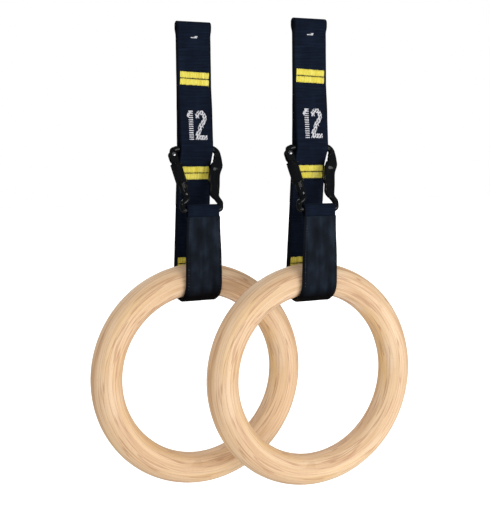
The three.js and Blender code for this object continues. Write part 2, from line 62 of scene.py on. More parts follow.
# ---- sizes, in metres
MM = 0.001
ACROSS = Vector((1, 0, 0))
WEB_W = 38 * MM
WEB_T = 2.05 * MM  # the two layers nearly touch
HALF_WEB = 0.9 * MM  # kept free on each side of the webbing's middle by what it goes round
LAYER = 2.1 * MM
HALF_LAYER = LAYER / 2
FOLD_W = 35.2 * MM  # width of the webbing where it bunches on the carabiner
EYE_R = 3.4 * MM  # middle of the webbing round the hanging eye
EYE_OPEN_Z = -4.5 * MM
EYE_CLOSE_Z = -9.6 * MM
NECK_SEAM_Z = -24 * MM  # between the bend at the eye and the turn below it
STRAP_SEAM_Z = -55.5 * MM  # hidden under the first bar tack
SEWN_Z = -62.9 * MM  # the two layers part below the first bar tack
TACK_PITCH = 96 * MM
DAISY_END_Z = -254 * MM
KINK = Vector((3 * MM, -131 * MM))  # where the back leg bends, behind the carabiner's bar
MARK_Z = -12.9 * MM  # top of the small woven mark
NUMBER_Z = -117.6 * MM  # foot of the woven 12
END_STITCH_Z = -211 * MM
UPPER_TACK_LIFT = 1.2 * MM  # above the seam that it hides
UPPER_TACK_SLANT = 0.035
TACK_HALF = 7.4 * MM  # half the height of a bar tack
WRAP_DROP = 1.35 * MM  # middle of the webbing's arc under the tube's own middle
WOOD_GAP = 1.4 * MM
SLEEVE_WALL = 0.9 * MM
GAP = 0.3 * MM
SLEEVE_REACH = HALF_WEB + GAP + SLEEVE_WALL  # from the webbing's middle to the cloth's outside
SLEEVE_DRAW = 1.75 * MM  # each edge of the sleeve draws in by this at its mouth
SLEEVE_TOP_Z = -197 * MM
GATHER_LEN = 48 * MM  # the webbing and the sleeve draw in over this, below the sleeve's mouth
CREASE_Z = -226 * MM
TAIL_END_Z = -222 * MM
ROD_R = 3.2 * MM
ROD_GAP = 0.5 * MM
BASE = Vector((-17.4 * MM, -190 * MM))  # y and z of the carabiner's lower bar
CLIP_Z = -126.8 * MM  # and the height of its upper bar
# the gate's pivot and the nose's end: across, and up from the lower bar
PIVOT = Vector((-26 * MM, 58.5 * MM))
NOSE = Vector((-15.8 * MM, 13.4 * MM))
GATE_R = 4.2 * MM
LATCH_BACK = 2.8 * MM
LOCK_LEN = 22.4 * MM
LOCK_REST = 14.4 * MM
LOCK_R = 5.9 * MM
LOCK_BORE_R = 4.5 * MM
FORK_T = 7.8 * MM
FORK_GAP_T = 3.7 * MM
FORK_END = 8.5 * MM
FORK_TIP = 5 * MM
TANG_T = 3 * MM
TANG_R = 3.6 * MM
PIVOT_ROOM_R = 4.7 * MM
PIVOT_HOLE_R = 1.6 * MM
LATCH_HOLE_R = 1.3 * MM
LATCH_SLOT_T = 2.4 * MM
BORE_R = 1.75 * MM
BORE_END = 28 * MM
THREAD_PITCH = 0.9 * MM
THREAD_DEPTH = 0.22 * MM
FLUTES = 24
FLUTE_DEPTH = 0.26 * MM
THROUGH = 10 * MM  # half the length of a hole that goes right through
SPINE_T = 5.4 * MM
SPINE_R = 5.5 * MM
SHOULDER_R = 4 * MM
SPINE_SHIFT = 1.5 * MM  # the flat spine lies this far inside the rod's own line
SPINE_SWELL = 0.8 * MM  # and is this much fuller over its upper half
SPINE_GROOVE = 0.9 * MM
FLOOR_Z = -1.25

RING_LOW, RING_HIGH = (Vector(c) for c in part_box("left_ring"))
RING_MID = (RING_LOW + RING_HIGH) / 2
TUBE_R = (RING_HIGH.y - RING_LOW.y) / 2
RING_R = (RING_HIGH.z - RING_LOW.z) / 2 - TUBE_R
RIGHT = Vector(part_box("right_ring")[0]) - RING_LOW
SIDES = {"left": Vector((0, 0, 0)), "right": RIGHT}

WRAP = Vector((0, RING_MID.z + RING_R - WRAP_DROP))
WRAP_R = TUBE_R + WOOD_GAP + SLEEVE_WALL + GAP + HALF_WEB
LOOP_R = ROD_R + ROD_GAP + HALF_WEB

gate_axis = Vector(JOINTS["left_gate_swing"]["axis"])
CLIP_TILT = math.atan2(gate_axis.z, -gate_axis.y)  # the carabiner leans back by this


# ---- lines in the YZ plane
def smooth(t):
    t = min(max(t, 0.0), 1.0)
    return t * t * (3 - 2 * t)


def turns(sides):
    """Angles spaced evenly round a circle."""
    return [2 * math.pi * k / sides for k in range(sides)]


def spoke(first, second, angle):
    """The unit vector at an angle from first towards second."""
    return first * math.cos(angle) + second * math.sin(angle)


def tangent(c1, r1, c2, r2, side):
    """Where a straight run leaves one circle and meets the next, on its left for side 1."""
    run = c2 - c1
    along = run.normalized()
    left = Vector((-along.y, along.x))
    lean = (r1 - r2) / run.length
    normal = along * lean + left * side * math.sqrt(1 - lean * lean)
    return c1 + normal * r1, c2 + normal * r2


def angle_from(centre, point):
    return math.atan2(point.y - centre.y, point.x - centre.x)


def arc(centre, radius, a0, a1, clockwise, step=0.8 * MM):
    """Points of an arc, its ends included."""
    if clockwise and a1 > a0:
        a1 -= 2 * math.pi
    if not clockwise and a1 < a0:
        a1 += 2 * math.pi
    n = max(int(abs(a1 - a0) * radius / step), 6)
    angles = [a0 + (a1 - a0) * i / n for i in range(n + 1)]
    return [centre + radius * Vector((math.cos(a), math.sin(a))) for a in angles]


def arc_between(centre, radius, start, end, clockwise, step=0.8 * MM):
    """The points of an arc from start to end, start left out."""
    a0, a1 = (angle_from(centre, point) for point in (start, end))
    return arc(centre, radius, a0, a1, clockwise, step)[1:]


def line_points(points, step=1.6 * MM):
    """The same line with points added, so that none are more than step apart."""
    out = [points[0]]
    for a, b in zip(points, points[1:]):
        n = max(math.ceil((b - a).length / step), 1)
        out += [a.lerp(b, (i + 1) / n) for i in range(n) if (b - a).length > 1e-6]
    return out


BACK_TOP, BACK_TANGENT = tangent(KINK, 0, WRAP, WRAP_R, 1)
BACK_RUN = (BACK_TANGENT - BACK_TOP).normalized()
BACK_FRONT = Vector((BACK_RUN.y, -BACK_RUN.x))  # out of the back leg, towards the front
FRONT_LOW, FRONT_HIGH = tangent(WRAP, WRAP_R, BASE, LOOP_R, 1)
FRONT_RUN = (FRONT_HIGH - FRONT_LOW).normalized()
FRONT_BACK = Vector((FRONT_RUN.y, -FRONT_RUN.x))  # out of the front leg, towards the back
KINK_LEAN = (KINK.x - HALF_LAYER) / (KINK.y - SEWN_Z)
CLIP = Vector((HALF_LAYER + (CLIP_Z - SEWN_Z) * KINK_LEAN - LOOP_R - 0.1 * MM, CLIP_Z))
CLIP_LEN = (CLIP - BASE).length
GATE_RUN = (NOSE - PIVOT).normalized()
GATE_LEN = (NOSE - PIVOT).length
LATCH_PIN_D = GATE_LEN - LATCH_BACK


def on_second_layer(z):
    return BACK_TOP + BACK_RUN * ((z - BACK_TOP.y) / BACK_RUN.y) + BACK_FRONT * LAYER


def on_front_leg(z):
    return FRONT_LOW + FRONT_RUN * ((z - FRONT_LOW.y) / FRONT_RUN.y)


LOOP_START, LOOP_ON = tangent(Vector((-HALF_LAYER, SEWN_Z)), 0, CLIP, LOOP_R, -1)


# ---- mesh building
class Shape:
    """Vertices, faces and a flat coordinate for each vertex, made into one object at the end."""

    def __init__(self):
        self.verts = []
        self.faces = []
        self.uvs = []

    def loft(self, rings, uvs=None, loop=False):
        """Joins closed rings of equal length, one after another; the ends are capped."""
        start = len(self.verts)
        n = len(rings[0])
        for i, ring in enumerate(rings):
            self.verts += [tuple(p) for p in ring]
            self.uvs += uvs[i] if uvs else [(k / n, i / len(rings)) for k in range(n)]
        count = len(rings)
        for i in range(count if loop else count - 1):
            for k in range(n):
                a = start + i * n
                b = start + ((i + 1) % count) * n
                self.faces.append((a + k, a + (k + 1) % n, b + (k + 1) % n, b + k))
        if not loop:
            self.faces.append(tuple(start + k for k in reversed(range(n))))
            self.faces.append(tuple(start + (count - 1) * n + k for k in range(n)))

    def made(self, name, look, sharp=40):
        mesh = bpy.data.meshes.new(name)
        mesh.from_pydata(self.verts, [], self.faces)
        layer = mesh.uv_layers.new(name="flat")
        for loop in mesh.loops:
            layer.data[loop.index].uv = self.uvs[loop.vertex_index]
        obj = bpy.data.objects.new(name, mesh)
        bpy.context.scene.collection.objects.link(obj)
        tidy_normals(obj, sharp)
        mesh.materials.append(look)
        return obj


def closed(rings):
    """One closed shape lofted through its rings."""
    shape = Shape()
    shape.loft(rings)
    return shape


def tidy_normals(obj, sharp):
    bm = bmesh.new()
    bm.from_mesh(obj.data)
    bmesh.ops.recalc_face_normals(bm, faces=bm.faces)
    bm.to_mesh(obj.data)
    bm.free()
    obj.data.polygons.foreach_set("use_smooth", [True] * len(obj.data.polygons))
    obj.data.set_sharp_from_angle(angle=math.radians(sharp))


def cut(obj, shape, operation="DIFFERENCE"):
    """A boolean of obj with another closed shape, applied."""
    tool = shape.made("cutter", obj.data.materials[0])
    modifier = obj.modifiers.new("cut", "BOOLEAN")
    modifier.operation = operation
    modifier.solver = "EXACT"
    modifier.object = tool
    bpy.context.view_layer.update()
    done = bpy.data.meshes.new_from_object(obj.evaluated_get(bpy.context.evaluated_depsgraph_get()))
    obj.modifiers.clear()
    obj.data = done
    bpy.data.objects.remove(tool)
    tidy_normals(obj, 35)
    return obj


def join(obj, shape):
    """Adds another closed shape to obj's mesh as it is."""
    extra = shape.made("extra", obj.data.materials[0])
    bm = bmesh.new()
    bm.from_mesh(obj.data)
    bm.from_mesh(extra.data)
    bm.to_mesh(obj.data)
    bm.free()
    bpy.data.objects.remove(extra)
    tidy_normals(obj, 35)
    return obj


def move(obj, offset):
    obj.data.transform(Matrix.Translation(offset))
    return obj


# ---- materials
class Look:
    """A node material being built, with short calls for the nodes used here."""

    def __init__(self, name, **sockets):
        self.material = bpy.data.materials.new(name)
        self.material.use_nodes = True
        self.nodes = self.material.node_tree.nodes
        self.links = self.material.node_tree.links
        self.shader = self.nodes["Principled BSDF"]
        for socket, value in sockets.items():
            self.shader.inputs[socket.replace("_", " ")].default_value = value

    def node(self, kind, inputs=(), **settings):
        made = self.nodes.new(kind)
        for setting, value in settings.items():
            setattr(made, setting, value)
        for socket, value in dict(inputs).items():
            if isinstance(value, bpy.types.NodeSocket):
                self.links.new(value, made.inputs[socket])
            else:
                made.inputs[socket].default_value = value
        return made

    def math(self, operation, a, b=0.0, c=0.0):
        return self.node("ShaderNodeMath", {0: a, 1: b, 2: c}, operation=operation).outputs[0]

    def times(self, a, b):
        return self.math("MULTIPLY", a, b)

    def plus(self, a, b):
        return self.math("ADD", a, b)

    def noise(self, vector, scale, detail=3.0, roughness=0.5):
        made = self.node("ShaderNodeTexNoise", {
            "Vector": vector, "Scale": scale, "Detail": detail, "Roughness": roughness})
        return made.outputs["Fac"]

    def ramp(self, value, *stops):
        """Colours at places along 0 to 1."""
        made = self.node("ShaderNodeValToRGB", {"Fac": value})
        ramp = made.color_ramp
        while len(ramp.elements) < len(stops):
            ramp.elements.new(0.5)
        for element, (place, colour) in zip(ramp.elements, stops):
            element.position = place
            element.color = (*colour, 1)
        return made.outputs["Color"]

    def levels(self, value, *stops):
        """Greys at places along 0 to 1."""
        return self.ramp(value, *((place, (level,) * 3) for place, level in stops))

    def spread(self, value, low, high, start=0.0, end=1.0):
        """A value taken from the range start to end to the range low to high, and held there."""
        made = self.node("ShaderNodeMapRange", {
            "Value": value, "From Min": start, "From Max": end, "To Min": low, "To Max": high})
        return made.outputs["Result"]

    def cloth_noise(self, per_across, per_along, detail=3.0):
        """Noise on flat cloth, with its own number of features to the metre each way."""
        across, along = self.flat()
        stretched = self.vector(self.times(across, per_across), self.times(along, per_along))
        return self.noise(stretched, 1.0, detail)

    def mix(self, factor, a, b):
        made = self.node("ShaderNodeMix", data_type="RGBA")
        for socket, value in zip((made.inputs[0], made.inputs[6], made.inputs[7]), (factor, a, b)):
            if isinstance(value, bpy.types.NodeSocket):
                self.links.new(value, socket)
            else:
                socket.default_value = value if socket is made.inputs[0] else (*value, 1)
        return made.outputs[2]

    def flat(self):
        """Across and along the piece, in metres."""
        uv = self.node("ShaderNodeUVMap", uv_map="flat")
        parts = self.node("ShaderNodeSeparateXYZ", {0: uv.outputs[0]})
        return parts.outputs[0], parts.outputs[1]

    def place(self):
        return self.node("ShaderNodeTexCoord").outputs["Object"]

    def vector(self, x, y, z=0.0):
        return self.node("ShaderNodeCombineXYZ", {0: x, 1: y, 2: z}).outputs[0]

    def finish(self, colour=None, roughness=None, height=None, depth=0.0002, strength=1.0):
        for socket, value in (("Base Color", colour), ("Roughness", roughness)):
            if value is not None:
                self.links.new(value, self.shader.inputs[socket])
        if height is not None:
            bump = self.node("ShaderNodeBump", {
                "Height": height, "Distance": depth, "Strength": strength})
            self.links.new(bump.outputs[0], self.shader.inputs["Normal"])
        return self.material


def wave(look, value, pitch):
    """A smooth 0 to 1 wave of the given pitch along a value in metres."""
    phase = look.times(value, 2 * math.pi / pitch)
    return look.math("MULTIPLY_ADD", look.math("SINE", phase), 0.5, 0.5)


def webbing_look():
    """Navy polyester webbing: cross ribs, fine warp lines, a tight selvedge and a little lint."""
    look = Look("webbing", Specular_IOR_Level=0.06, Sheen_Weight=0.03, Sheen_Roughness=0.45)
    look.shader.inputs["Sheen Tint"].default_value = (0.45, 0.62, 1, 1)
    across, along = look.flat()
    rib_pitch = 1.55 * MM
    shifted = look.math("MULTIPLY_ADD", look.cloth_noise(90, 25), 0.9 * MM, along)
    ribs = wave(look, shifted, rib_pitch)
    warp = wave(look, across, 1.1 * MM)
    brick = look.times(wave(look, shifted, 2 * rib_pitch), warp)
    selvedge = look.spread(look.math("ABSOLUTE", across), 0.0, 1.0, 16.6 * MM, 17.8 * MM)
    height = look.plus(ribs, look.times(brick, 0.45))
    flattened = look.math("SUBTRACT", 1.0, look.times(selvedge, 0.6))
    height = look.times(height, flattened)
    patches = look.cloth_noise(60, 18, 4)
    streaks = look.cloth_noise(40, 640, 2)
    tone = look.math("MULTIPLY_ADD", patches, 0.55, look.times(streaks, 0.45))
    dark = look.ramp(tone, (0.3, (0.0026, 0.005, 0.0125)), (0.5, (0.0045, 0.0086, 0.021)),
                     (0.72, (0.0085, 0.0175, 0.039)))
    # painted shade: the colour darkens towards black in the valleys between the ribs
    rib_valley_shade = look.mix(look.spread(height, 0.55, 1.12), (0, 0, 0), dark)
    colour = look.mix(look.times(selvedge, 0.62), rib_valley_shade, (0.0022, 0.0026, 0.0042))
    fuzz = look.cloth_noise(1900, 1900, 2)
    roughness = look.spread(fuzz, 0.62, 0.86)
    height = look.plus(height, look.times(fuzz, 0.35))
    return look.finish(colour, roughness, height, depth=0.16 * MM, strength=0.75)


def thread_look(name, low, middle, high, sheen):
    """Twisted polyester thread, each stitch a little different."""
    look = Look(name, Specular_IOR_Level=0.35, Sheen_Weight=sheen, Sheen_Roughness=0.4)
    shade, along = look.flat()
    grime = look.noise(look.place(), 420.0)
    tone = look.math("MULTIPLY_ADD", shade, 0.55, look.times(grime, 0.45))
    twist = wave(look, look.plus(along, look.times(shade, 0.0006)), 0.5 * MM)
    colour = look.ramp(tone, (0.2, low), (0.5, middle), (0.8, high))
    # painted shade: the grooves of the twist are darkened a little
    colour = look.mix(look.spread(twist, 0.82, 1.0), (0, 0, 0), colour)
    return look.finish(colour, look.spread(grime, 0.45, 0.7), twist, depth=0.08 * MM, strength=0.6)


def sleeve_look():
    """Smooth coated cloth of the wear sleeve: a fine close weave with soft lengthwise rubbing."""
    look = Look("wear_sleeve", Specular_IOR_Level=0.05)
    across, along = look.flat()
    pitch = 0.62 * MM
    weave = look.times(wave(look, across, pitch), wave(look, along, pitch))
    rubs = look.cloth_noise(150, 14, 4)
    cloud = look.cloth_noise(70, 50, 2)
    tone = look.math("MULTIPLY_ADD", rubs, 0.5, look.times(cloud, 0.5))
    colour = look.ramp(tone, (0.36, (0.002, 0.0036, 0.0066)), (0.5, (0.0062, 0.01, 0.0175)),
                       (0.64, (0.014, 0.021, 0.034)))
    # painted shade: the cloth darkens towards both side edges, where the sleeve rounds away from
    # the light
    edge = look.spread(look.math("ABSOLUTE", across), 0.0, 0.7, 14.8 * MM, 18.6 * MM)
    colour = look.mix(edge, colour, (0.003, 0.004, 0.006))
    # painted shade: nearly black under the ring's tube, where the sleeve wraps round below it
    underside_shade = look.spread(along, 0.95, 0.0, 47 * MM, 58 * MM)
    colour = look.mix(underside_shade, colour, (0.001, 0.0012, 0.002))
    height = look.math("MULTIPLY_ADD", cloud, 2.5, weave)
    return look.finish(colour, look.spread(rubs, 0.45, 0.62), height, depth=0.07 * MM, strength=0.6)


def wood_look(name, centre):
    """Pale bent and laminated birch: fibres run round the ring, lamination lines with them."""
    look = Look(name, Specular_IOR_Level=0.4, Sheen_Weight=0.35, Sheen_Roughness=0.2)
    moved = look.node("ShaderNodeVectorMath", {0: look.place(), 1: centre}, operation="SUBTRACT")
    part = look.node("ShaderNodeSeparateXYZ", {0: moved.outputs[0]})
    x, depth, z = part.outputs
    radius = look.math("SQRT", look.plus(look.times(x, x), look.times(z, z)))
    out = look.math("SUBTRACT", radius, RING_R)
    # the angle is zero at the bottom, so that its jump lies under the wear sleeve
    turn = look.math("ARCTAN2", x, look.times(z, -1.0))

    def fibres(cross, lengthwise, detail=3.0, roughness=0.5):
        """Noise drawn out along the ring, by features to the metre and to the radian."""
        vector = look.vector(
            look.times(out, cross), look.times(depth, cross), look.times(turn, lengthwise))
        return look.noise(vector, 1.0, detail, roughness)

    sway = fibres(35, 1.3, 2)
    board = look.plus(look.times(out, 0.55), look.times(depth, 0.85))
    board = look.math("MULTIPLY_ADD", sway, 0.009, board)
    ply = 3.6 * MM
    plies = look.math("FRACT", look.times(board, 1 / ply))
    line = look.levels(plies, (0.0, 1), (0.12, 0.7), (0.26, 0))
    figure = fibres(120, 0.8)
    streaks = fibres(900, 1.3, 3, 0.66)
    pores = fibres(1500, 34.0, 2, 0.6)
    colour = look.ramp(figure, (0.28, (0.64, 0.4, 0.215)), (0.42, (0.73, 0.5, 0.295)),
                       (0.56, (0.79, 0.555, 0.345)), (0.74, (0.85, 0.63, 0.4)))
    golden = look.levels(fibres(48, 0.9, 2), (0.5, 0), (0.68, 1))
    # heartwood shows golden on the inside of the bend, low on the left and half way up the right
    inside = look.spread(out, 1.0, 0.0, -0.9 * TUBE_R, -0.1 * TUBE_R)
    for angle, amount in ((-0.95, 0.5), (1.55, 0.6)):
        apart = look.math("ABSOLUTE", look.math("SUBTRACT", turn, angle))
        near = look.spread(apart, amount, 0.0, 0.15, 0.75)
        golden = look.math("MULTIPLY_ADD", near, inside, golden)
    golden = look.math("MINIMUM", look.times(golden, 0.6), 0.85)
    colour = look.mix(golden, colour, (0.8, 0.53, 0.235))
    pale = look.levels(fibres(60, 1.1, 2), (0.52, 0), (0.7, 1))
    colour = look.mix(look.times(pale, 0.55), colour, (0.87, 0.7, 0.52))
    dark_fibre = look.levels(streaks, (0.36, 1), (0.47, 0))
    colour = look.mix(look.times(dark_fibre, 0.42), colour, (0.53, 0.3, 0.185))
    fade = look.spread(fibres(40, 2.2, 2), 0.0, 0.5)
    colour = look.mix(look.times(line, fade), colour, (0.52, 0.3, 0.175))
    fleck = look.levels(pores, (0.3, 1), (0.42, 0))
    colour = look.mix(look.times(fleck, 0.2), colour, (0.36, 0.19, 0.095))
    contour = look.math("ABSOLUTE", look.math("SUBTRACT", fibres(210, 0.8, 2), 0.5))
    long_line = look.levels(contour, (0.0, 1), (0.014, 0.8), (0.026, 0))
    colour = look.mix(look.times(long_line, 0.7), colour, (0.47, 0.25, 0.14))
    height = look.plus(streaks, look.times(pores, 0.6))
    roughness = look.spread(streaks, 0.42, 0.6)
    return look.finish(colour, roughness, height, depth=0.05 * MM, strength=0.5)


def black_metal_look():
    """Gloss black coating over forged metal: faint ripple, fine scuffs."""
    look = Look("black_metal", Specular_IOR_Level=0.12, Coat_Weight=0.5, Coat_Roughness=0.05)
    place = look.place()
    ripple = look.noise(place, 190.0, 2)
    scuffs = look.noise(place, 1500.0, 4, 0.65)
    worn = look.levels(scuffs, (0.6, 0), (0.72, 1))
    worn = look.times(worn, 0.5)
    colour = look.mix(worn, (0.003, 0.0036, 0.0046), (0.02, 0.021, 0.024))
    roughness = look.spread(scuffs, 0.14, 0.34)
    height = look.math("MULTIPLY_ADD", scuffs, 0.12, ripple)
    return look.finish(colour, roughness, height, depth=0.1 * MM, strength=0.2)


def steel_look():
    """Bright turned steel, with fine machining marks."""
    look = Look("steel", Metallic=1.0)
    place = look.place()
    marks = look.noise(place, 2600.0, 3, 0.6)
    cloud = look.noise(place, 300.0, 2)
    colour = look.ramp(cloud, (0.3, (0.4, 0.41, 0.42)), (0.7, (0.62, 0.63, 0.65)))
    return look.finish(colour, look.spread(marks, 0.2, 0.38), marks, depth=0.02 * MM, strength=0.4)


def floor_look():
    look = Look("pale_floor", Specular_IOR_Level=0.05, Emission_Strength=0.7)
    look.shader.inputs["Emission Color"].default_value = (1, 1, 1, 1)
    mottle = look.noise(look.place(), 3.0, 4)
    colour = look.levels(mottle, (0.3, 0.93), (0.7, 0.96))
    return look.finish(colour, look.spread(mottle, 0.75, 0.9))


WEBBING = webbing_look()
TACK_THREAD = thread_look(
    "tack_thread", (0.8, 0.66, 0.05), (0.94, 0.82, 0.105), (1.00, 0.92, 0.24), 0.15)
WOVEN_WHITE = thread_look(
    "woven_white", (0.7, 0.7, 0.76), (0.88, 0.88, 0.92), (0.96, 0.96, 0.98), 0.2)
DARK_THREAD = thread_look(
    "dark_thread", (0.01, 0.013, 0.018), (0.028, 0.036, 0.05), (0.08, 0.1, 0.13), 0.2)
SLEEVE_CLOTH = sleeve_look()
BLACK_METAL = black_metal_look()
STEEL = steel_look()


# ---- webbing
def band_section(width):
    """A closed loop of (across, out) for webbing with round selvedges."""
    half = WEB_T / 2
    flat = width / 2 - half
    face = 14
    turn = 5
    ends = [math.pi / 2 - math.pi * i / (turn + 1) for i in range(1, turn + 1)]
    loop = [(-flat + 2 * flat * i / face, half) for i in range(face + 1)]
    loop += [(flat + half * math.cos(a), half * math.sin(a)) for a in ends]
    loop += [(flat - 2 * flat * i / face, -half) for i in range(face + 1)]
    loop += [(-flat - half * math.cos(a), -half * math.sin(a)) for a in ends]
    return loop


def normals(points):
    """The left-hand normal at each point of a line."""
    out = []
    for i, point in enumerate(points):
        before = points[max(i - 1, 0)]
        after = points[min(i + 1, len(points) - 1)]
        run = (after - before).normalized()
        out.append(Vector((-run.y, run.x)))
    return out


def add_band(shape, points, width=lambda p: WEB_W, start=0.0, seed=0.0):
    """A strip of webbing along a line; each vertex keeps its place across and along the strip."""
    rings = []
    uvs = []
    travelled = start
    for i, (point, normal) in enumerate(zip(points, normals(points))):
        if i:
            travelled += (point - points[i - 1]).length
        wide = width(point) + 0.22 * MM * noise.noise(Vector((travelled * 55, seed, 0)))
        section = band_section(wide)
        rings.append([
            Vector((across, point.x + normal.x * out, point.y + normal.y * out))
            for across, out in section])
        uvs.append([(across, travelled) for across, _ in section])
    shape.loft(rings, uvs)


def eye_webbing(name):
    """The folded hanging eye, with both legs down to the middle of the bend."""
    leg = [Vector((-HALF_LAYER, NECK_SEAM_Z)), Vector((-HALF_LAYER, EYE_CLOSE_Z)),
           Vector((-EYE_R, EYE_OPEN_Z)), Vector((-EYE_R, 0))]
    over = arc(Vector((0, 0)), EYE_R, math.pi, 0, True, 0.5 * MM)
    other = [Vector((-p.x, p.y)) for p in reversed(leg)]
    points = line_points(leg + over[1:] + other[1:], 1 * MM)
    shape = Shape()
    add_band(shape, eased(points, 3), start=NECK_SEAM_Z)
    return shape.made(name, WEBBING)


def eased(points, times):
    """The same line with its corners eased; its ends stay where they are."""
    for _ in range(times):
        middle = [(a + 2 * b + c) / 4 for a, b, c in zip(points, points[1:], points[2:])]
        points = [points[0], *middle, points[-1]]
    return points


def neck_webbing(name):
    shape = Shape()
    for y in (-HALF_LAYER, HALF_LAYER):
        line = line_points([Vector((y, NECK_SEAM_Z)), Vector((y, STRAP_SEAM_Z))], 1 * MM)
        add_band(shape, line, start=-NECK_SEAM_Z, seed=y * 1000)
    return shape.made(name, WEBBING)


def gathered(point):
    """0 to 1, up the front leg, as the webbing and the sleeve bunch towards the carabiner."""
    up = smooth((point.y - SLEEVE_TOP_Z + GATHER_LEN) / GATHER_LEN)
    return up if point.x < 0 else 0.0


def fold_width(point):
    return WEB_W + (FOLD_W - WEB_W) * gathered(point)


def main_webbing(name):
    """Down behind the ring, round under its tube, up in front, over the carabiner and back in."""
    tail_top = on_front_leg(BASE.y - 2.6 * LOOP_R) + FRONT_BACK * LAYER
    over, _ = tangent(BASE, LOOP_R, tail_top, 0, 1)
    points = [Vector((HALF_LAYER, z)) for z in (STRAP_SEAM_Z, SEWN_Z)] + [BACK_TOP, BACK_TANGENT]
    points += arc_between(WRAP, WRAP_R, BACK_TANGENT, FRONT_LOW, True)
    points.append(FRONT_HIGH)
    points += arc_between(BASE, LOOP_R, FRONT_HIGH, over, True, 0.5 * MM)
    points += [tail_top, on_front_leg(TAIL_END_Z) + FRONT_BACK * LAYER]
    shape = Shape()
    add_band(shape, line_points(points), fold_width, start=-STRAP_SEAM_Z, seed=3.0)
    return shape.made(name, WEBBING)


def loop_width(point):
    """The front layer draws in a little where it hangs over the carabiner's upper bar."""
    return WEB_W - 1.6 * MM * smooth(1 - abs(point.y - CLIP_Z) / (45 * MM))


def loop_webbing(name):
    """The second layer: over the carabiner's upper bar, back to the main strap and on down."""
    meeting = on_second_layer(STRAP_SEAM_Z - TACK_PITCH + TACK_HALF)
    off, _ = tangent(CLIP, LOOP_R, meeting, 0, -1)
    points = [Vector((-HALF_LAYER, STRAP_SEAM_Z)), LOOP_START, LOOP_ON]
    points += arc_between(CLIP, LOOP_R, LOOP_ON, off, False, 0.5 * MM)
    points += [meeting, on_second_layer(DAISY_END_Z)]
    shape = Shape()
    add_band(shape, line_points(points), loop_width, start=-STRAP_SEAM_Z, seed=7.0)
    return shape.made(name, WEBBING)


# ---- stitching and weaving
def add_thread(shape, middle, along, side, out, length, radius, lift):
    """One stitch: a low hump of thread whose ends go down into the cloth."""
    shade = random.random()
    steps = 5
    round_angles = turns(6)
    sunk = 0.12 * MM
    rings = []
    uvs = []
    for i in range(steps + 1):
        t = i / steps
        swell = math.sin(math.pi * (0.06 + 0.88 * t)) ** 0.45
        centre = middle + along * (t - 0.5) * length + out * (lift * swell - sunk)
        r = radius * (0.55 + 0.45 * swell)
        rings.append([centre + spoke(side, out, a) * r for a in round_angles])
        uvs.append([(shade, t * length)] * len(round_angles))
    shape.loft(rings, uvs)


def yz(point, x=0.0):
    return Vector((x, point.x, point.y))


def bar_tack(name, middle, run, slant=0.0):
    """Two bands of close stitches, on the front and on the back of the strap."""
    shape = Shape()
    pitch = 0.56 * MM
    band = 6.2 * MM
    apart = 7.2 * MM
    width = 32.4 * MM
    front = Vector((run.y, -run.x))
    for face, out, thick in ((1, front, WEB_T / 2), (-1, -front, WEB_T / 2 + LAYER)):
        outward = yz(out)
        leaned = Matrix.Rotation(-slant * face, 3, outward)
        along = leaned @ yz(run)
        across = leaned @ ACROSS
        seat = yz(middle) + outward * thick
        for row in (-0.5, 0.5):
            count = int(width / pitch)
            for i in range(count):
                x = (i - (count - 1) / 2) * pitch
                y = row * apart + random.uniform(-0.22, 0.22) * MM
                spot = seat + across * x + along * y
                lean = Matrix.Rotation(random.uniform(-0.05, 0.05), 3, outward)
                length = band + random.uniform(-0.35, 0.35) * MM
                add_thread(shape, spot, lean @ along, lean @ across, outward, length,
                           0.33 * MM, 0.38 * MM)
    return shape.made(name, TACK_THREAD, 80)


def end_stitch(name):
    """The stitching that closes the end loop, on the tail inside the sleeve."""
    shape = Shape()
    seat = yz(on_front_leg(END_STITCH_Z) + FRONT_BACK * (LAYER + WEB_T / 2))
    outward = yz(FRONT_BACK)
    along = yz(FRONT_RUN)
    for row in range(-2, 3):
        for i in range(-6, 7):
            spot = seat + ACROSS * i * 2.1 * MM + along * row * 1.8 * MM
            add_thread(shape, spot, ACROSS, along, outward, 1.8 * MM, 0.25 * MM, 0.12 * MM)
    return shape.made(name, TACK_THREAD, 80)


def near_segment(p, a, b, reach):
    run = b - a
    t = min(max((p - a).dot(run) / run.length_squared, 0), 1)
    return (p - a - run * t).length < reach


def in_mark(p):
    """The small woven mark, seen as one leaning bar."""
    return abs(p.x) < 3.6 and 0 < p.y - 0.12 * p.x < 1.6


def in_one(p):
    """Whether a point, in mm from the numeral's lower middle, lies in the figure 1."""
    stem = abs(p.x + 5.8) < 2.4 and 0 < p.y < 30.4 and p.y % 2.24 < 1.12
    return stem or near_segment(p, Vector((-8.8, 25.2)), Vector((-6.6, 28.6)), 1.4)


def in_two(p):
    """The figure 2: a hook, a slanting stroke and a foot."""
    hook = Vector(((p.x - 5.2) / 0.9, p.y - 23.3))
    angle = math.degrees(math.atan2(hook.y, hook.x))
    in_hook = 2.3 < hook.length < 7.1 and (angle > -38 or angle < -168)
    stroke = near_segment(p, Vector((8.7, 20.2)), Vector((1.4, 6.8)), 2.4) and p.y < 24
    heel = abs(p.x - 1.0) < 2.2 and 0 < p.y < 8
    foot = -1.2 < p.x < 11.6 and 0 < p.y < 4.7
    return (in_hook or stroke or heel or foot) and (p.x - 0.8 * p.y) % 3.2 < 2.4


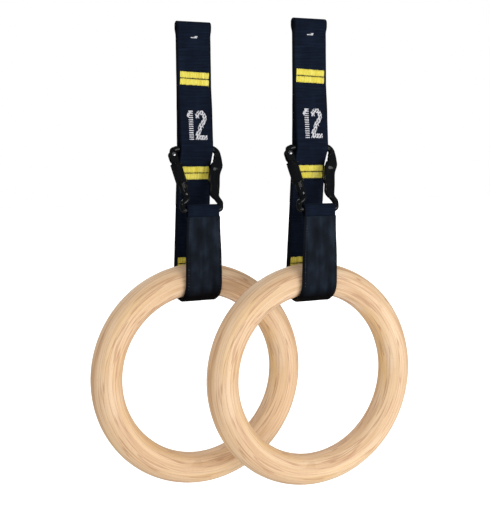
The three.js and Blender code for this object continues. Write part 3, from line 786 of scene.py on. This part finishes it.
def woven_floats(name, inside, origin, run, out, span_x, span_y):
    """Short white floats of the weave, in brick order, wherever inside says."""
    shape = Shape()
    pitch_x = 0.98
    pitch_y = 1.12
    along = yz(run)
    outward = yz(out)
    for row in range(int(span_y / pitch_y) + 1):
        for column in range(int(-span_x / pitch_x) - 1, int(span_x / pitch_x) + 2):
            p = Vector(((column + 0.5 * (row % 2)) * pitch_x, (row + 0.5) * pitch_y))
            if not inside(p):
                continue
            spot = yz(origin) + ACROSS * p.x * MM - along * p.y * MM + outward * WEB_T / 2
            lean = Matrix.Rotation(0.42 + random.uniform(-0.12, 0.12), 3, outward)
            add_thread(shape, spot, lean @ along, lean @ ACROSS, outward,
                       1.25 * MM, 0.42 * MM, 0.18 * MM)
    return shape.made(name, WOVEN_WHITE, 80)


# ---- wear sleeve
def sleeve_line():
    """From the back of the ring's tube, round under it and up the front leg."""
    start = 0.03
    points = arc(WRAP, WRAP_R, start, angle_from(WRAP, FRONT_LOW), True, 1 * MM)
    return line_points(points + [on_front_leg(SLEEVE_TOP_Z)], 1.4 * MM)


def sleeve_section(half_w, front, back):
    """Two flat cloth faces that close together in a sewn edge on each side."""
    seam = 2.6 * MM
    edge = 0.75 * MM
    loop = []
    steps = 16
    for sign, reach in ((1, front), (-1, back)):
        for i in range(steps + 1):
            x = sign * (-half_w + 2 * half_w * i / steps)
            rise = edge + (reach - edge) * smooth((half_w - abs(x)) / seam)
            if i in (0, steps):
                rise = edge * 0.7
            loop.append((x, sign * rise))
    return loop


def away(point, normal):
    """A normal of the sleeve's line, turned to point away from the ring's tube."""
    middle = Vector((WRAP.x, min(max(point.y, WRAP.y), 0)))
    return -normal if (middle - point).dot(normal) > 0 else normal


def sleeve_ring(point, out, section, ripple=lambda x: 0.0):
    """A section of the sleeve set in its place; ripple says how its outer face wrinkles."""
    rises = [(x, rise + ripple(x) if rise > 0 else rise) for x, rise in section]
    return [Vector((x, point.x + out.x * rise, point.y + out.y * rise)) for x, rise in rises]


def wear_sleeve(name):
    points = sleeve_line()
    shape = Shape()
    rings = []
    uvs = []
    travelled = 0.0
    half = (WEB_W + 1.8 * MM) / 2
    outer = SLEEVE_REACH + 0.15 * MM
    lines = list(zip(points, normals(points)))
    for i, (point, normal) in enumerate(lines):
        if i:
            travelled += (point - points[i - 1]).length
        in_front = point.x < 0 and point.y > FRONT_LOW.y
        with_tail = smooth((point.y - TAIL_END_Z + 3 * MM) / (5 * MM)) if in_front else 0.0
        bottom = smooth((FRONT_LOW.y - 2 * MM - point.y) / (14 * MM))

        def ripple(x, place=travelled, in_front=in_front, point=point):
            soft = noise.noise(Vector((x * 60, place * 34, 2.0))) * 0.28 * MM
            if not in_front:
                return soft
            t = (point.y - CREASE_Z) / (15 * MM)
            return soft - 0.38 * MM * math.exp(-t * t - (x / (1.5 * MM)) ** 2)

        inner = SLEEVE_REACH + LAYER * with_tail
        uneven = 0.25 * MM * noise.noise(Vector((travelled * 40, 9.0, 0)))
        wide = half - SLEEVE_DRAW * gathered(point) + 0.5 * MM * bottom + uneven
        section = sleeve_section(wide, outer, inner)
        rings.append(sleeve_ring(point, away(point, normal), section, ripple))
        uvs.append([(x, travelled) for x, _ in section])
    # the mouth turns in and goes back down inside
    out = away(*lines[-1])
    shrink = 0.55 * MM
    reach = SLEEVE_REACH - shrink
    section = sleeve_section(half - SLEEVE_DRAW - shrink, reach, reach + LAYER)
    for drop in (0, 5 * MM):
        rings.append(sleeve_ring(points[-1] - FRONT_RUN * drop, out, section))
        uvs.append([(x, travelled - drop) for x, _ in section])
    shape.loft(rings, uvs)
    return shape.made(name, SLEEVE_CLOTH, 50)


def sleeve_stitching(name):
    """A row of dark stitches along each edge of the sleeve."""
    points = sleeve_line()
    spacing = 2.6 * MM
    from_middle = 17.5 * MM
    draw = 1.6 * MM
    shape = Shape()
    walk = 0.0
    for (a, normal), b in zip(zip(points, normals(points)), points[1:]):
        walk += (b - a).length
        if walk < spacing:
            continue
        walk = 0.0
        out = away(a, normal)
        for side in (-1, 1):
            x = side * (from_middle - draw * gathered(a))
            spot = yz(a + out * (SLEEVE_REACH - 0.25 * MM), x)
            add_thread(shape, spot, yz((b - a).normalized()), ACROSS, yz(out),
                       1.9 * MM, 0.26 * MM, 0.34 * MM)
    return shape.made(name, DARK_THREAD, 80)


# ---- ring
def wood_ring(name, look):
    shape = Shape()
    rings = []
    for a in turns(144):
        out = Vector((math.sin(a), 0, -math.cos(a)))
        middle = RING_MID + out * RING_R
        rings.append([middle + spoke(out, Vector((0, 1, 0)), b) * TUBE_R for b in turns(40)])
    shape.loft(rings, loop=True)
    return shape.made(name, look, 180)


# ---- carabiner
def on_clip(across, up, forward=0.0):
    """A point of the carabiner's own plane: across, up from the lower bar, and out to the front."""
    s = math.sin(CLIP_TILT)
    c = math.cos(CLIP_TILT)
    return Vector((across, BASE.x + up * s - forward * c, BASE.y + up * c + forward * s))


def on_gate(down, outward=0.0, forward=0.0):
    """A point of the gate, down from its pivot, outward and to the front."""
    p = PIVOT + GATE_RUN * down + Vector((GATE_RUN.y, -GATE_RUN.x)) * outward
    return on_clip(p.x, p.y, forward)


def rod_course():
    """The rod's middle line, from the nose by the lower bar and the spine to the upper bar."""
    top = CLIP_LEN / MM
    course = [
        (NOSE.x / MM, NOSE.y / MM), (-15.4, 11.6), (-17.2, 9.4), (-20.3, 7.2), (-21.1, 4),
        (-20.5, 1.1), (-18, 0), (0, 0), (18, 0), (20.5, 1.1), (21.1, 4), (21, 7), (18.8, 10.6),
        (17, 15), (18.6, 26), (20.5, 38), (23.3, 44.2), (25.2, 48), (25.6, 52), (25, top - 8.2),
        (24, top - 4.8), (22, top - 2), (19, top - 0.15), (0, top), (-19, top), (-22.8, top - 0.5),
        (-25.6, top - 2.2),
    ]
    knots = [Vector(p) * MM for p in course]
    knots = [2 * knots[0] - knots[1], *knots, 2 * knots[-1] - knots[-2]]
    points = []
    for p0, p1, p2, p3 in zip(knots, knots[1:], knots[2:], knots[3:]):
        n = max(int((p2 - p1).length / (0.9 * MM)), 3)
        points += [through_knots(p0, p1, p2, p3, i / n) for i in range(n)]
    points.append(knots[-2])
    return points


def through_knots(p0, p1, p2, p3, t):
    """Centripetal Catmull-Rom between p1 and p2."""
    t0 = 0.0
    t1 = t0 + math.sqrt((p1 - p0).length)
    t2 = t1 + math.sqrt((p2 - p1).length)
    t3 = t2 + math.sqrt((p3 - p2).length)
    t = t1 + (t2 - t1) * t

    def between(p, q, tp, tq):
        return p * ((tq - t) / (tq - tp)) + q * ((t - tp) / (tq - tp))

    a1 = between(p0, p1, t0, t1)
    a2 = between(p1, p2, t1, t2)
    a3 = between(p2, p3, t2, t3)
    return between(between(a1, a2, t0, t2), between(a2, a3, t1, t3), t1, t2)


def carabiner_section(spine, flat_r, groove, end, shift=0.0):
    """The forged section: round on the bars, a wide flat I on the spine."""
    wide = ROD_R + (flat_r - ROD_R) * spine
    deep = ROD_R + (SPINE_T / 2 - ROD_R) * spine
    power = 2 / (2 + 1.6 * spine)
    loop = []
    for a in turns(36):
        x = math.copysign(abs(math.cos(a)) ** power, math.cos(a)) * wide
        z = math.copysign(abs(math.sin(a)) ** power, math.sin(a)) * deep
        hollow = groove * max(1 - (x / (3.1 * MM)) ** 4, 0)
        z -= math.copysign(min(hollow, abs(z)), z) if abs(z) > 0.5 * deep else 0
        loop.append((x * end + shift * spine, z * end))
    return loop


def rise_and_fall(value, start, rise, end, fall):
    """0 before start, 1 after a run of rise, and back to 0 over a run of fall that ends at end."""
    return smooth((value - start) / rise) * smooth((end - value) / fall)


def carabiner_frame(name):
    points = rod_course()
    rings = []
    sides = list(zip(points, normals(points)))
    for point, normal in sides:
        up = point.y
        spine = 0.0
        groove = 0.0
        if point.x > 10 * MM:
            spine = rise_and_fall(up, 11 * MM, 7 * MM, CLIP_LEN - 3 * MM, 5 * MM)
            groove = rise_and_fall(up, 19 * MM, 3 * MM, 43 * MM, 3 * MM)
        flat_r = SHOULDER_R + (SPINE_R - SHOULDER_R) * smooth((51 * MM - up) / (6 * MM))
        swell = SPINE_SWELL * rise_and_fall(up, 24 * MM, 5 * MM, 57 * MM, 4 * MM)
        section = carabiner_section(
            spine, flat_r + swell, SPINE_GROOVE * groove, 1.0, SPINE_SHIFT + swell)
        rings.append([on_clip(point.x + normal.x * x, up + normal.y * x, z) for x, z in section])
    # the nose and the far end are slightly rounded over
    for at, step in ((0, 1), (-1, -1)):
        point, normal = sides[at]
        run = (sides[at][0] - sides[at + step][0]).normalized()
        for back, scale in ((0.0, 0.93), (0.35 * MM, 0.78)):
            end = point + run * back
            section = carabiner_section(0, ROD_R, 0, scale)
            ring = [on_clip(end.x + normal.x * x, end.y + normal.y * x, z) for x, z in section]
            rings.insert(0 if at == 0 else len(rings), ring)
    obj = closed(rings).made(name, BLACK_METAL, 50)
    drill(obj, 0, PIVOT_ROOM_R, 40)
    tang_end = Vector((PIVOT.x + 1 * MM, CLIP_LEN - 2 * MM))
    cut(obj, link(tang_end - PIVOT, TANG_R, TANG_T, 0.35 * MM), "UNION")
    drill(obj, 0, PIVOT_HOLE_R, 28)
    # the hook that holds the gate's latch pin
    top = LATCH_PIN_D - 2.2 * MM
    join(obj, gate_block(top, GATE_LEN + 1 * MM, 1.35 * MM, 2.9 * MM, 1.7 * MM))
    return join(obj, gate_block(top, top + 0.9 * MM, -0.6 * MM, 2.0 * MM, 1.66 * MM))


def turned(middles, radii, sides):
    """Turned rings square to the line from the first middle to the last."""
    run = (middles[-1] - middles[0]).normalized()
    first = run.orthogonal().normalized()
    second = run.cross(first)
    return closed([
        [middle + spoke(first, second, a) * radius for a in turns(sides)]
        for middle, radius in zip(middles, radii)])


def drill(obj, down, radius, sides):
    """A hole right through, from front to back, at a place down the gate's line."""
    ends = [on_gate(down, 0, f) for f in (-THROUGH, THROUGH)]
    return cut(obj, turned(ends, [radius] * 2, sides))


def gate_block(d0, d1, e0, e1, thick):
    """A block between two places down the gate's line and two outward from it."""
    corners = ((d0, e0), (d1, e0), (d1, e1), (d0, e1))
    return closed([[on_gate(d, e, f) for d, e in corners] for f in (-thick / 2, thick / 2)])


def link(run, radius, thick, bevel):
    """A bar with round ends along run from the pivot, with its edges eased."""
    angle = math.atan2(run.y, run.x)
    turn = 14
    outline = []
    for middle, offset in ((run, -math.pi / 2), (Vector((0, 0)), math.pi / 2)):
        outline += [(middle, angle + offset + math.pi * i / turn) for i in range(turn + 1)]
    rings = []
    for f, r in ((-thick / 2, radius - bevel), (-thick / 2 + bevel, radius),
                 (thick / 2 - bevel, radius), (thick / 2, radius - bevel)):
        flat = [PIVOT + middle + Vector((math.cos(a), math.sin(a))) * r for middle, a in outline]
        rings.append([on_clip(p.x, p.y, f) for p in flat])
    return closed(rings)


def gate(name):
    """The gate: a barrel with a forked root, a slot for the nose's hook and a turned thread."""
    start = FORK_END - 1 * MM
    end = GATE_LEN - 0.4 * MM
    places = [start, start + 0.8 * MM]
    radii = [GATE_R - 0.7 * MM, GATE_R]
    thread_from = GATE_LEN - LOCK_REST - 1 * MM
    thread_to = thread_from + 6.3 * MM
    steps = 2 * int((thread_to - thread_from) / THREAD_PITCH)
    for i in range(steps + 1):
        places.append(thread_from + i * (thread_to - thread_from) / steps)
        radii.append(GATE_R if i % 2 == 0 else GATE_R - THREAD_DEPTH)
    places += [end - 0.7 * MM, end]
    radii += [GATE_R, GATE_R - 0.6 * MM]
    obj = turned([on_gate(d) for d in places], radii, 40).made(name, BLACK_METAL, 35)
    cut(obj, link(GATE_RUN * FORK_TIP, GATE_R, FORK_T, 0.9 * MM), "UNION")
    cut(obj, gate_block(-8 * MM, FORK_END, -8 * MM, 8 * MM, FORK_GAP_T))
    latch_top = LATCH_PIN_D - LATCH_BACK
    cut(obj, gate_block(latch_top, GATE_LEN + 2 * MM, -6 * MM, 6 * MM, LATCH_SLOT_T))
    cut(obj, turned([on_gate(FORK_END - 2 * MM), on_gate(BORE_END)], [BORE_R] * 2, 24))
    drill(obj, 0, PIVOT_HOLE_R, 24)
    return drill(obj, LATCH_PIN_D, LATCH_HOLE_R, 20)


def rivet(name):
    """The gate's pivot, with a domed head on each side of the fork."""
    head = FORK_T / 2 + GAP
    shank = 1.3 * MM
    dome = ((0.2, 0.78), (0.9, 0.74), (1.6, 0.55), (2.1, 0.25), (2.2, 0))
    dome = [(r * MM, h * MM) for r, h in dome]
    places = [-head - h for _, h in dome] + [-head, head] + [head + h for _, h in reversed(dome)]
    radii = [r for r, _ in dome] + [shank] * 2 + [r for r, _ in reversed(dome)]
    return turned([on_gate(0, 0, f) for f in places], radii, 28).made(name, STEEL, 40)


def lock_sleeve(name):
    """The screw-lock sleeve: a turned rim at each end and straight flutes between them."""
    profile = [
        (LOCK_R - 0.5 * MM, 0, 0), (LOCK_R - 0.1 * MM, 0.25 * MM, 0), (LOCK_R, 0.6 * MM, 0),
        (LOCK_R, 1.3 * MM, 0), (LOCK_R - 0.4 * MM, 1.5 * MM, 0), (LOCK_R - 0.4 * MM, 1.9 * MM, 0),
        (LOCK_R - 0.05 * MM, 2.2 * MM, 0.3), (LOCK_R - 0.05 * MM, 3.0 * MM, 1),
    ]
    outer = profile + [(r, LOCK_LEN - h, f) for r, h, f in reversed(profile)]
    inner = [(LOCK_BORE_R, LOCK_LEN, 0), (LOCK_BORE_R, 0, 0)]
    start = GATE_LEN - LOCK_REST - LOCK_LEN
    run = (on_gate(1) - on_gate(0)).normalized()
    first = (on_gate(0, 1) - on_gate(0)).normalized()
    second = run.cross(first)
    rings = []
    for radius, height, fluted in outer + inner:
        middle = on_gate(start + height)
        ring = []
        for a in turns(96):
            dip = FLUTE_DEPTH * fluted * (0.5 - 0.5 * math.cos(FLUTES * a))
            ring.append(middle + spoke(first, second, a) * (radius - dip))
        rings.append(ring)
    shape = Shape()
    shape.loft(rings, loop=True)
    return shape.made(name, BLACK_METAL, 40)


# ---- one side
def settle(nodes):
    if nodes:
        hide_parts(*nodes)


def riding(obj, offset, body, slot, *nodes):
    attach(move(obj, offset), body)
    settle(nodes)


def bending(obj, offset, bodies, span, slot, *nodes):
    """A piece moved to its side and baked in place, with the parts it stands for hidden."""
    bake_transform(move(obj, offset))
    settle(nodes)


def dress(side, offset):
    anchor, bend, strap = (f"{side}_{body}" for body in ("anchor", "bend", "strap"))
    down = Vector((0, -1))
    at_eye = (-8 * MM, -20 * MM)
    at_neck = (NECK_SEAM_Z, -46 * MM)

    def put(build, piece, body, slot, node):
        riding(build(f"{side}_{piece}"), offset, f"{side}_{body}", slot, f"{side}_{node}")

    bending(eye_webbing(f"{side}_eye_webbing"), offset, (anchor, bend), at_eye, "webbing",
            f"{side}_hanging_eye")
    bending(neck_webbing(f"{side}_neck_webbing"), offset, (bend, strap), at_neck, "webbing",
            f"{side}_strap_neck")
    mark_top = Vector((-HALF_LAYER - 0.1 * MM, MARK_Z))
    mark = woven_floats(f"{side}_woven_mark", in_mark, mark_top, down, Vector((-1, 0)), 4, 2)
    bending(mark, offset, (anchor, bend), at_eye, "webbing")

    put(main_webbing, "main_webbing", "strap", "webbing", "main_strap")
    put(loop_webbing, "loop_layer", "strap", "webbing", "loop_webbing")
    loop_run = (LOOP_ON - LOOP_START).normalized()
    loop_front = Vector((loop_run.y, -loop_run.x))
    foot = LOOP_START + loop_run * ((NUMBER_Z - LOOP_START.y) / loop_run.y)
    number = woven_floats(f"{side}_woven_number", lambda p: in_one(p) or in_two(p), foot, loop_run,
                          loop_front, 14, 31)
    riding(number, offset, strap, "webbing")

    first = Vector((-HALF_LAYER, STRAP_SEAM_Z + UPPER_TACK_LIFT))
    second = on_second_layer(STRAP_SEAM_Z - TACK_PITCH)
    third = on_second_layer(STRAP_SEAM_Z - 2 * TACK_PITCH)
    for level, middle, run, slant in (
            ("upper", first, down, UPPER_TACK_SLANT), ("middle", second, BACK_RUN, 0.0),
            ("lower", third, BACK_RUN, 0.0)):
        threads = bar_tack(f"{side}_{level}_tack_threads", middle, run, slant)
        riding(threads, offset, strap, "bar_tack", f"{side}_{level}_bar_tack")
    put(end_stitch, "end_stitch_threads", "strap", "bar_tack", "end_loop_stitch")

    put(wear_sleeve, "sleeve_cloth", "strap", "wear_sleeve", "wear_sleeve")
    riding(sleeve_stitching(f"{side}_sleeve_stitching"), offset, strap, "wear_sleeve")

    wood = wood_look(f"{side}_birch", RING_MID + offset)
    put(lambda name: wood_ring(name, wood), "wood_ring", "hoop", "ring_wood", "ring")

    put(carabiner_frame, "carabiner_frame", "strap", "black_metal", "carabiner_body")
    put(rivet, "gate_rivet", "strap", "steel", "gate_pin")
    put(gate, "gate_barrel", "gate_arm", "black_metal", "gate")
    put(lock_sleeve, "lock_barrel", "lock", "black_metal", "lock_sleeve")

    for kept in ("latch_pin", "gate_plunger", "gate_spring"):
        node = frame["nodes"][f"{side}_{kept}"]
        node.data.materials.clear()
        node.data.materials.append(STEEL)


for side_name, side_offset in SIDES.items():
    dress(side_name, side_offset)


# ---- floor, light, camera
def floor():
    bpy.ops.mesh.primitive_plane_add(size=60, location=(0, 0, FLOOR_Z))
    plane = bpy.context.object
    plane.name = "floor"
    plane.data.materials.append(floor_look())
    # the sweep is lit to plain white and throws no glare on the dark pieces
    plane.visible_glossy = False
    plane.visible_diffuse = False


def area_light(name, location, target, size, power):
    data = bpy.data.lights.new(name, "AREA")
    data.shape = "RECTANGLE"
    data.size, data.size_y = size
    data.energy = power
    light = bpy.data.objects.new(name, data)
    light.location = location
    light.rotation_euler = (Vector(target) - Vector(location)).to_track_quat("-Z", "Y").to_euler()
    bpy.context.scene.collection.objects.link(light)


def lights():
    world = bpy.data.worlds.new("studio")
    bpy.context.scene.world = world
    world.use_nodes = True
    tree = world.node_tree
    back = tree.nodes["Background"]
    back.inputs[0].default_value = (1, 1, 1, 1)
    # plain white to look at, a soft room for lighting, nearly black for shiny pieces to mirror
    room = 0.8
    mirrored = 0.1
    path = tree.nodes.new("ShaderNodeLightPath")
    soft = tree.nodes.new("ShaderNodeMapRange")
    soft.inputs["To Min"].default_value = room
    soft.inputs["To Max"].default_value = mirrored
    tree.links.new(path.outputs["Is Glossy Ray"], soft.inputs["Value"])
    seen = tree.nodes.new("ShaderNodeMath")
    seen.operation = "MAXIMUM"
    tree.links.new(soft.outputs["Result"], seen.inputs[0])
    tree.links.new(path.outputs["Is Camera Ray"], seen.inputs[1])
    tree.links.new(seen.outputs[0], back.inputs[1])
    middle = (0.05, -0.03, -0.25)
    area_light("key", (1.2, -1.9, -0.4), middle, (1.6, 1.4), 22)
    area_light("low", (-0.1, -1.5, -1.1), (0.05, -0.03, -0.4), (1.0, 0.5), 4)
    area_light("spark", (-0.9, -1.4, 0.8), middle, (0.16, 0.16), 1.2)
    area_light("rim", (0.3, 1.6, 0.9), middle, (1.2, 0.6), 6)


def camera():
    """The photograph's place and direction: from the left, level with the strap's sleeve."""
    data = bpy.data.cameras.new("camera")
    data.lens = 69.9
    data.sensor_width = 36
    data.clip_end = 200
    cam = bpy.data.objects.new("camera", data)
    yaw = math.radians(24.2)
    tilt = math.radians(4.96)
    roll = math.radians(0.7)
    level = math.cos(tilt)
    forward = Vector((math.sin(yaw) * level, math.cos(yaw) * level, -math.sin(tilt)))
    right = Vector((math.cos(yaw), -math.sin(yaw), 0))
    up = right.cross(forward)
    rolled_right = right * math.cos(roll) - up * math.sin(roll)
    rolled_up = up * math.cos(roll) + right * math.sin(roll)
    turn = Matrix((rolled_right, rolled_up, -forward)).transposed()
    place = (-0.3851, -0.9815, -0.1502)
    cam.matrix_world = Matrix.Translation(place) @ turn.to_4x4()
    bpy.context.scene.collection.objects.link(cam)
    bpy.context.scene.camera = cam


floor()
lights()
camera()
bpy.context.scene.view_settings.view_transform = "Standard"
